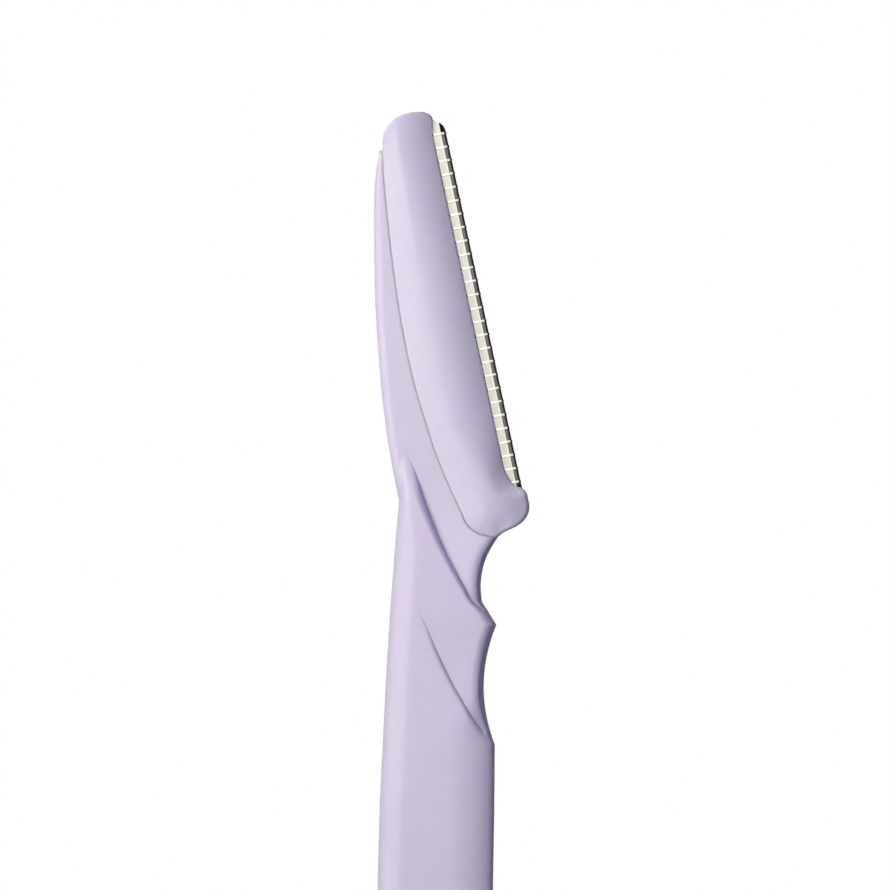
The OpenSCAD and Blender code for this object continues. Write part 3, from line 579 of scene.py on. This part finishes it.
def cover_height(x, z):
    """Half thickness over a cover. It falls from the crest to the lips with the square of the share
    of the way, steeper beside the lower corner, and to the nose and straight below it with power
    1.8. Distances from the lips count 2.5 times along the edge. It rises from the seam by a quarter
    sine that ends where the fall has begun, the two widths joined by their minus third powers, and
    is rounded along every outline, the rounds joined by the root of their squares."""
    low = np.linspace(NECK_Z + SEAM_GAP, SHOULDER_Z, 120)
    high = SHOULDER_Z + SHOULDER_H * np.sin(np.linspace(0, 0.5 * np.pi, 40))
    crown = np.linspace(WHOLE_LEN - TOP_SLIVER, WHOLE_LEN - CROWN_RISE, 12)
    straight = np.linspace(WHOLE_LEN + LIPS_ABOVE, CORNER_Z, 14)
    corner = np.linspace(CORNER_Z, EDGE_Z, 14)[1:]
    chin = np.linspace(EDGE_Z, NECK_Z + SEAM_GAP, 60)

    def line(*stretches):
        """Points of one line from stretches of (place, height)."""
        return np.concatenate([np.stack([place, level], axis=1) for place, level in stretches])

    shoulder = cover_back_side(np.minimum(high, WHOLE_LEN - TOP_SLIVER))
    seam_line = line(([CHIN[0][1]], low[:1]), (cover_back_side(low), low))
    top_line = line((shoulder, high), (cover_edge_side(crown), crown))
    lips_line = line((lip_side(straight), straight), (cover_edge_side(corner), corner))
    chin_line = line((cover_edge_side(chin), chin))

    def beside(px, pz):
        """Place across the cutting edge, and along it with the lips' stretch."""
        dx, dz = px - EDGE_X, pz - EDGE_Z
        return dx * COS_TILT + dz * SIN_TILT, LIPS_STRETCH * (dz * COS_TILT - dx * SIN_TILT)

    from_lips = far_from(*beside(x, z), np.stack(beside(*lips_line.T), axis=1))
    from_lips = from_lips * (1 + CORNER_STEEP * (1 - ease(z, EDGE_Z, EDGE_Z + CORNER_REACH)))
    from_nose = np.hypot(HEAD_W / 2 - x, np.maximum(0, z - EDGE_Z))
    from_seam = far_from(x, z, seam_line)
    fall = 1 - (1 - np.clip(from_lips / LIP_FALL, 0, 1)) ** FALL_POWER
    fall = fall * (1 - (1 - np.clip(from_nose / NOSE_FALL, 0, 1)) ** NOSE_POWER)
    at_seam = (NECK_H - LIP_H) / (CREST_H - LIP_H)
    most = LOW_RISE + (SEAM_RISE - LOW_RISE) * ease(z, SEAM_ARC_Z, SEAM_ARC_Z + 2 * LIP_FALL)
    rest = from_seam + np.maximum(from_lips - CREST_IN, CREST_LEAST)
    rise = at_seam + (1 - at_seam) * swell_up(from_seam, (most ** -3 + rest ** -3) ** (-1 / 3))
    face = LIP_H + (CREST_H - LIP_H) * fall * rise
    drops = [round_over(far_from(x, z, chin_line), np.minimum(COVER_ROUND, face - RIM_H)),
             round_over(far_from(x, z, top_line), np.minimum(CROWN_ROUND, face - RIM_H)),
             round_over(from_seam, COVER_SEAM_ROUND),
             round_over(far_from(x, z, lips_line), LIP_ROUND)]
    drop = np.sqrt(sum(d * d for d in drops))
    return np.maximum(face - drop, RIM_H)


def cover_body(name, side):
    """The outer sheet over a grid from seam to lips, an inner sheet just inside it at the parting
    plane, sunk to the guard's pocket beside the lips, and a wall between the two outlines. side is
    -1 for the front cover and 1 for the rear one."""
    z = levels((NECK_Z + SEAM_GAP, SEAM_ARC_Z, 46, "early"), (SEAM_ARC_Z, CORNER_Z, 74, "even"),
               (CORNER_Z, SHOULDER_Z - 1, 240, "even"), (SHOULDER_Z - 1, SHOULDER_Z, 8, "even"),
               (SHOULDER_Z, WHOLE_LEN, 52, "late"))
    flat = np.minimum(z, WHOLE_LEN - TOP_SLIVER)
    back, edge = cover_back_side(flat)[:, None], cover_edge_side(flat)[:, None]
    share = 0.5 - 0.5 * np.cos(np.pi * np.arange(COVER_COLUMNS + 1) / COVER_COLUMNS)
    x = back + (edge - back) * share
    up = np.broadcast_to(z[:, None], x.shape)
    outer = np.stack([x, side * cover_height(x, up), up], axis=-1)
    middle = 0.5 * (back + edge)
    keep = 1 - 2 * PARTING_BEVEL / np.maximum(edge - back, 4 * PARTING_BEVEL)
    up_in = np.clip(up, z[0] + PARTING_BEVEL, z[-1] - PARTING_BEVEL)
    beside_lips = (EDGE_X - (up - EDGE_Z) * math.tan(EDGE_TILT) - x) * COS_TILT
    pocket_foot = EDGE_Z - POCKET_TAIL
    pocket = (GUARD_POCKET * ease(POCKET_W - beside_lips, 0, POCKET_SLOPE)
              * ease(up, pocket_foot, pocket_foot + POCKET_SLOPE))
    x_in = np.where(pocket > 0.5 * GUARD_POCKET, x, middle + (x - middle) * keep)
    inner = np.stack([x_in, side * pocket, up_in], axis=-1)
    rows, cols = x.shape
    number = np.arange(rows * cols).reshape(rows, cols)
    corners = [number[:-1, :-1], number[:-1, 1:], number[1:, 1:], number[1:, :-1]]
    skin = np.stack(corners, axis=-1).reshape(-1, 4)
    loop = np.concatenate([number[0, :-1], number[:-1, -1], number[-1, :0:-1], number[:0:-1, 0]])
    bevel_start = outer.reshape(-1, 3)[loop].copy()
    depth = np.abs(inner.reshape(-1, 3)[loop][:, 1])
    bevel_start[:, 1] = side * np.maximum(depth, PARTING_BEVEL)
    points = np.concatenate([outer.reshape(-1, 3), inner.reshape(-1, 3), bevel_start])
    rings = [loop, np.arange(len(loop)) + 2 * rows * cols, loop + rows * cols]
    walls = [np.stack([a, b, np.roll(b, -1), np.roll(a, -1)], axis=-1)
             for a, b in zip(rings, rings[1:])]
    quads = np.concatenate([skin, skin[:, ::-1] + rows * cols] + walls)
    if side > 0:
        quads = quads[:, ::-1]
    return put_mesh(name, points, quads)


cover_plastic = satin_lavender("cover_plastic_satin", pale=(0.620, 0.580, 0.768),
                               deep=(0.594, 0.554, 0.742))
for cover_name, cover_side, cover_node in [("front_cover_shell", -1, "front_head_cover"),
                                           ("rear_cover_shell", 1, "rear_head_cover")]:
    cover = cover_body(cover_name, cover_side)
    cover.data.materials.append(cover_plastic)
    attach(cover, "root")
    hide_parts(cover_node)


# Blade. A thin strip of hardened steel, ground to a bevel on both sides and honed at the edge. It
# is the imported solid. Its tone holds painted shade and dark reflection: a dark bevel with a
# lighter streak, and a black line along the edge.
BLADE_T = 0.22
# Places along the edge where black painted shade sets in at the upper corner and at the lower end.
CORNER_PAINTED_SHADE = (EDGE_LEN - 1.5, EDGE_LEN - 1.2)
FOOT_PAINTED_SHADE = (0.7, 0.3)
# Black painted on steel as shade and dark reflection: on the blade's edge and ends, and on the
# ribs' nose.
PAINTED_SHADE_BLACK = (0.012, 0.012, 0.012, 1)


def edge_frame(material):
    """Place in the blade's own frame, as a vector and as its parts: X goes across, with 0 at the
    edge and less inside, Y through the blade, and Z along the edge from its lower end."""
    place = add_node(material, "ShaderNodeTexCoord").outputs["Object"]
    node = add_node(material, "ShaderNodeMapping", vector_type="TEXTURE", Vector=place,
                    Location=(EDGE_X * MM, 0, EDGE_Z * MM), Rotation=(0, -EDGE_TILT, 0))
    turned = node.outputs["Vector"]
    return turned, add_node(material, "ShaderNodeSeparateXYZ", Vector=turned).outputs


def ramp_between(material, value, start, stop):
    """0 at start and 1 at stop, both in millimetres, straight between them and level outside."""
    node = add_node(material, "ShaderNodeMapRange", Value=value,
                    From_Min=start * MM, From_Max=stop * MM)
    return node.outputs["Result"]


def larger_of(material, first, second):
    """The larger of two sockets' values."""
    node = add_node(material, "ShaderNodeMath", operation="MAXIMUM")
    material.node_tree.links.new(first, node.inputs[0])
    material.node_tree.links.new(second, node.inputs[1])
    return node.outputs["Value"]


def mix_tones(material, share, *tones):
    """The first tone at a share of 0 and the second at 1. Each is a socket or a colour."""
    node = add_node(material, "ShaderNodeMix", data_type="RGBA")
    material.node_tree.links.new(share, node.inputs[0])
    for socket, tone in zip(node.inputs[6:8], tones):
        if isinstance(tone, bpy.types.NodeSocket):
            material.node_tree.links.new(tone, socket)
        else:
            socket.default_value = tone
    return node.outputs[2]


def drawn_lines(material, turned, stretch):
    """Fine lines: noise whose place in the blade's frame is stretched by three factors."""
    drawn = add_node(material, "ShaderNodeMapping", Vector=turned, Scale=stretch)
    return noise(material, drawn.outputs["Vector"], 1.0, 3.0)


def bare_metal(material, tone, lines, gloss, depth):
    """Metal of that tone. Its lines drive the roughness between two bounds and a relief of that
    depth in metres."""
    rough = add_node(material, "ShaderNodeMapRange", Value=lines, To_Min=gloss[0], To_Max=gloss[1])
    shader = add_node(material, "ShaderNodeBsdfPrincipled", Base_Color=tone, Metallic=1.0,
                      Roughness=rough.outputs["Result"], Normal=bump(material, lines, depth))
    add_node(material, "ShaderNodeOutputMaterial", Surface=shader.outputs["BSDF"])
    return material


def steel_with_painted_shade():
    """Across the blade the tone goes by its distance from the edge. It is painted shade and painted
    reflection: a painted shadow beside the guard's sheet, a dark bevel with a lighter streak, and
    black at the edge. Black painted shade also covers the round corner at the upper end and the
    part below the lowest rib. The lines of grinding run across the edge."""
    material = fresh_material("blade_steel_painted_shade")
    turned, parts = edge_frame(material)
    # Painted shade and reflection across the bevel: a shadow beside the sheet, a dark bevel with a
    # lighter streak, black at the edge.
    bevel = tone_ramp(material, ramp_between(material, parts["X"], -0.8, 0.0), [
        (0.0, (0.55, 0.53, 0.49)), (0.20, (0.50, 0.48, 0.44)), (0.24, (0.10, 0.085, 0.065)),
        (0.38, (0.10, 0.09, 0.07)), (0.52, (0.19, 0.175, 0.15)), (0.66, (0.16, 0.15, 0.125)),
        (0.78, (0.03, 0.028, 0.026)), (1.0, (0.008, 0.008, 0.008))])
    # Painted shade: black on the upper corner and below the lowest rib.
    ends = larger_of(material, ramp_between(material, parts["Z"], *CORNER_PAINTED_SHADE),
                     ramp_between(material, parts["Z"], *FOOT_PAINTED_SHADE))
    tone = mix_tones(material, ends, bevel, PAINTED_SHADE_BLACK)
    lines = drawn_lines(material, turned, (600, 600, 16000))
    return bare_metal(material, tone, lines, gloss=(0.24, 0.5), depth=0.001 * MM)


blade_finish = steel_with_painted_shade()
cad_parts["blade"].data.materials.clear()
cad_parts["blade"].data.materials.append(blade_finish)


# Guard. A bright steel sheet folded over both sides of the blade, with a row of windows punched
# along the edge. The ribs between the windows are pressed up and run round the edge, and each
# starts at the lips with a small bump.
SHEET_T = 0.1
GUARD_W = 2.0
GUARD_TAIL = 0.5
WINDOW_W = 0.50
TOP_LIFT = 0.35
CORNER_R = 1.1
LIFT_ON = 0.5
LIFT_FULL = 1.4
WINDOW_ROLL = 0.12
ROLL_RISE = 0.004


def to_frame(across, deep, along):
    """From the blade's own frame, across and along its edge, to the razor's frame."""
    across, deep, along = np.broadcast_arrays(across, deep, along)
    return np.stack([EDGE_X + across * COS_TILT - along * SIN_TILT, deep,
                     EDGE_Z + across * SIN_TILT + along * COS_TILT], axis=-1)


def guard_sheets():
    """On each side a closed profile across the sheet is carried along the edge. Its outer face ends
    in a small round bead at the windows. The upper end follows the blade's round corner, and rises
    by a smooth step beside the lips."""
    inner, outer = BLADE_T / 2, BLADE_T / 2 + SHEET_T
    turn = np.linspace(0, np.pi, 9)
    bead = SHEET_T / 2
    roll, straight = -WINDOW_W - WINDOW_ROLL, np.linspace(-1.5, -0.8, 8)
    ring_x = np.concatenate([[-GUARD_W], straight, [roll], -WINDOW_W - bead + bead * np.sin(turn),
                             [roll, -1.0, -GUARD_W]])
    ring_y = np.concatenate([[outer], np.full(8, outer), [outer + ROLL_RISE],
                             0.5 * (inner + outer) + bead * np.cos(turn), [inner, inner, inner]])
    below = EDGE_LEN - CORNER_R
    level = levels((-GUARD_TAIL, below, 90, "even"), (below, EDGE_LEN + TOP_LIFT, 14, "late"))
    in_corner = np.clip(ring_x + CORNER_R, 0, CORNER_R)
    top = below + np.sqrt(CORNER_R**2 - in_corner**2) + TOP_LIFT * ease(-ring_x, LIFT_ON, LIFT_FULL)
    along = np.minimum(level[:, None], top[None, :])
    points, quads = [], []
    for side in (-1, 1):
        rings = to_frame(ring_x, side * ring_y, along)
        faces = join_rings(rings)
        count = len(ring_x)
        j = np.arange(count // 2 - 1)
        cap = np.stack([j, j + 1, count - 2 - j, count - 1 - j], axis=-1)
        faces = np.concatenate([faces, cap[:, ::-1], cap + (len(rings) - 1) * count])
        points.append(rings.reshape(-1, 3))
        quads.append((faces if side < 0 else faces[:, ::-1]) + sum(len(p) for p in points[:-1]))
    return np.concatenate(points), np.concatenate(quads)


def guard_ribs():
    """A flat oval is carried round the edge along a path from the bump at the front lips to the
    bump at the rear lips. Its width and height follow the path: wide and high at the bumps, flared
    where the rib leaves the sheet, slim over the window and at the nose."""
    half = np.array([[-1.46, 0.175], [-1.42, 0.205], [-1.35, 0.228], [-1.24, 0.236], [-1.12, 0.228],
                     [-0.92, 0.226], [-0.70, 0.224], [-0.56, 0.212], [-0.44, 0.190], [-0.30, 0.160],
                     [-0.16, 0.128], [-0.06, 0.096], [-0.015, 0.066], [0.008, 0.034], [0.014, 0.0]])
    wide = np.array([0.03, 0.12, 0.165, 0.170, 0.135, 0.118, 0.122, 0.138, 0.122, 0.112, 0.106]
                    + [0.104] * 4)
    high = np.array([0.01, 0.032, 0.052, 0.056, 0.038, 0.032, 0.032] + [0.034] * 8)
    path = np.concatenate([half * [1, -1], half[-2::-1]])
    wide, high = np.concatenate([wide, wide[-2::-1]]), np.concatenate([high, high[-2::-1]])
    run = np.gradient(path, axis=0)
    run /= np.linalg.norm(run, axis=1, keepdims=True)
    out = np.stack([run[:, 1], -run[:, 0]], axis=1)
    turn = np.linspace(0, 2 * np.pi, 12, endpoint=False)
    across = path[:, 0, None] + out[:, 0, None] * high[:, None] * np.sin(turn)
    deep = path[:, 1, None] + out[:, 1, None] * high[:, None] * np.sin(turn)
    along = wide[:, None] * np.cos(turn)
    place = (EDGE_LEN - RIB_START - RIB_PITCH * np.arange(RIB_COUNT))[:, None, None]
    points = to_frame(across, deep, place + along)
    faces = join_rings(points[0])
    rows, around = across.shape
    caps = np.array([[0, 1, 2, 11], [11, 2, 3, 10], [10, 3, 4, 9], [9, 4, 5, 8], [8, 5, 6, 7]])
    faces = np.concatenate([faces, caps[:, ::-1], caps + (rows - 1) * around])
    step = rows * around * np.arange(RIB_COUNT)
    return points.reshape(-1, 3), (faces[None] + step[:, None, None]).reshape(-1, 4)


def sheet_with_painted_highlight():
    """Cold-rolled steel. Rolling streaks are noise drawn out along the edge. A painted highlight
    makes the tone brighter along both borders of the sheet and on the pressed ribs, and painted
    shade and dark reflection make it almost black on the nose of the ribs. Both go by the distance
    from the edge in the blade's frame, and the ribs also by their height over the sheet."""
    material = fresh_material("guard_steel_painted_highlight")
    turned, parts = edge_frame(material)
    depth = add_node(material, "ShaderNodeMath", operation="ABSOLUTE")
    material.node_tree.links.new(parts["Y"], depth.inputs[0])
    # Painted highlight on the ribs, by their height over the sheet.
    painted_rib_highlight = ramp_between(material, depth.outputs["Value"], 0.216, 0.240)
    # Painted highlight along both borders of the sheet.
    painted_border_highlight = tone_ramp(material, ramp_between(material, parts["X"], -1.5, -0.5), [
        (at, (share,) * 3) for at, share in
        [(0.0, 0.6), (0.18, 0.6), (0.32, 0.0), (0.78, 0.0), (0.90, 0.5), (1.0, 0.6)]])
    bright = larger_of(material, painted_border_highlight, painted_rib_highlight)
    streaks = drawn_lines(material, turned, (14000, 14000, 400))
    sheen = tone_ramp(material, streaks, [(0.3, (0.55, 0.535, 0.50)), (0.7, (0.65, 0.63, 0.59))])
    lit = mix_tones(material, bright, sheen, (0.97, 0.955, 0.92, 1))
    # Painted shade and dark reflection: black on the ribs' nose and the sheet's edge.
    tone = mix_tones(material, ramp_between(material, parts["X"], -0.23, -0.13), lit, PAINTED_SHADE_BLACK)
    return bare_metal(material, tone, streaks, gloss=(0.20, 0.38), depth=0.0015 * MM)


sheet_points, sheet_quads = guard_sheets()
rib_points, rib_quads = guard_ribs()
guard = put_mesh("guard_pressing", np.concatenate([sheet_points, rib_points]),
                 np.concatenate([sheet_quads, rib_quads + len(sheet_points)]))
guard.data.materials.append(sheet_with_painted_highlight())
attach(guard, "root")
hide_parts("blade_guard")


# Setting. A pale round floor that fades into a white background, a soft lamp close to the head at
# its front left, a weak one in front, one far behind for the other side, a dim lilac room, and the
# camera level with the middle of the picture.
FLOOR_R = 600.0
FADE_FROM = 0.10
FADE_TO = 0.5
VIEW_FAR = 0.9
VIEW_WIDE = 0.0899


def white_background(nodes_of):
    """1 for rays from the camera and for reflected or transmitted ones, and 0 for diffuse ones."""
    rays = add_node(nodes_of, "ShaderNodeLightPath").outputs
    seen = larger_of(nodes_of, rays["Is Camera Ray"], rays["Is Glossy Ray"])
    return larger_of(nodes_of, seen, rays["Is Transmission Ray"])


def floor_finish():
    """Pale matt floor near the razor, which throws less light back than it shows. By a smooth step
    over the distance from the middle it turns into the white of the background."""
    material = fresh_material("floor_pale")
    place = add_node(material, "ShaderNodeTexCoord").outputs["Object"]
    far = add_node(material, "ShaderNodeVectorMath", operation="LENGTH")
    material.node_tree.links.new(place, far.inputs[0])
    fade = add_node(material, "ShaderNodeMapRange", interpolation_type="SMOOTHSTEP",
                    Value=far.outputs["Value"], From_Min=FADE_FROM, From_Max=FADE_TO)
    seen = white_background(material)
    tone = mix_tones(material, seen, (0.26, 0.24, 0.32, 1), (0.92, 0.92, 0.92, 1))
    near = add_node(material, "ShaderNodeBsdfDiffuse", Color=tone)
    glow = add_node(material, "ShaderNodeEmission", Strength=seen)
    both = add_node(material, "ShaderNodeMixShader", Fac=fade.outputs["Result"])
    material.node_tree.links.new(near.outputs["BSDF"], both.inputs[1])
    material.node_tree.links.new(glow.outputs["Emission"], both.inputs[2])
    add_node(material, "ShaderNodeOutputMaterial", Surface=both.outputs["Shader"])
    return material


def floor_disc():
    """Rings of points round the middle, at radii that are even shares of the floor's radius."""
    rows, around = 12, 96
    turn = np.linspace(0, 2 * np.pi, around, endpoint=False)
    radius = FLOOR_R * np.linspace(0.01, 1, rows)[:, None]
    level = np.zeros((rows, around))
    points = np.stack([radius * np.cos(turn), radius * np.sin(turn), level], axis=-1)
    faces = join_rings(points)[:, ::-1]
    return put_mesh("floor", points.reshape(-1, 3), faces, [list(range(around))])


floor = floor_disc()
floor.data.materials.append(floor_finish())

world = bpy.data.worlds.new("white_room")
bpy.context.scene.world = world
world.use_nodes = True
world.node_tree.nodes.clear()
room = add_node(world, "ShaderNodeBackground", Color=(0.52, 0.40, 1.0, 1), Strength=0.15)
white = add_node(world, "ShaderNodeBackground", Color=(1, 1, 1, 1), Strength=1.0)
choose = add_node(world, "ShaderNodeMixShader", Fac=white_background(world))
world.node_tree.links.new(room.outputs["Background"], choose.inputs[1])
world.node_tree.links.new(white.outputs["Background"], choose.inputs[2])
add_node(world, "ShaderNodeOutputWorld", Surface=choose.outputs["Shader"])


def soft_lamp(name, place, aim, width, height, watts, tint):
    """A rectangular lamp of a tint at a place that looks at another one."""
    light = bpy.data.lights.new(name, "AREA")
    light.shape, light.size, light.size_y, light.energy = "RECTANGLE", width, height, watts
    light.color = tint
    lamp = bpy.data.objects.new(name, light)
    bpy.context.scene.collection.objects.link(lamp)
    lamp.visible_camera = False
    lamp.location = place
    lamp.rotation_euler = (Vector(aim) - Vector(place)).to_track_quat("-Z", "Y").to_euler()
    return lamp


soft_lamp("key_left", (-0.164, -0.251, 0.205), (0, 0, 0.19), 0.17, 0.20, 1.20, (0.99, 1.0, 0.80))
front_lamp = soft_lamp("front", (0, -1.0, 0.115), (0, 0, 0.115), 0.6, 0.6, 1.3, (0.76, 0.70, 1.0))
front_lamp.visible_glossy = False
soft_lamp("rear", (-0.1, 1.08, 0.45), (0, 0, 0.09), 0.5, 0.7, 7.0, (1.0, 1.0, 1.0))

camera_data = bpy.data.cameras.new("camera")
camera = bpy.data.objects.new("camera", camera_data)
bpy.context.scene.collection.objects.link(camera)
camera.location = (-0.000677, -VIEW_FAR, 0.1164)
camera.rotation_euler = (math.radians(90), 0, 0)
camera_data.sensor_width = 36.0
camera_data.lens = camera_data.sensor_width * VIEW_FAR / VIEW_WIDE
bpy.context.scene.camera = camera
bpy.context.scene.view_settings.view_transform = "Standard"
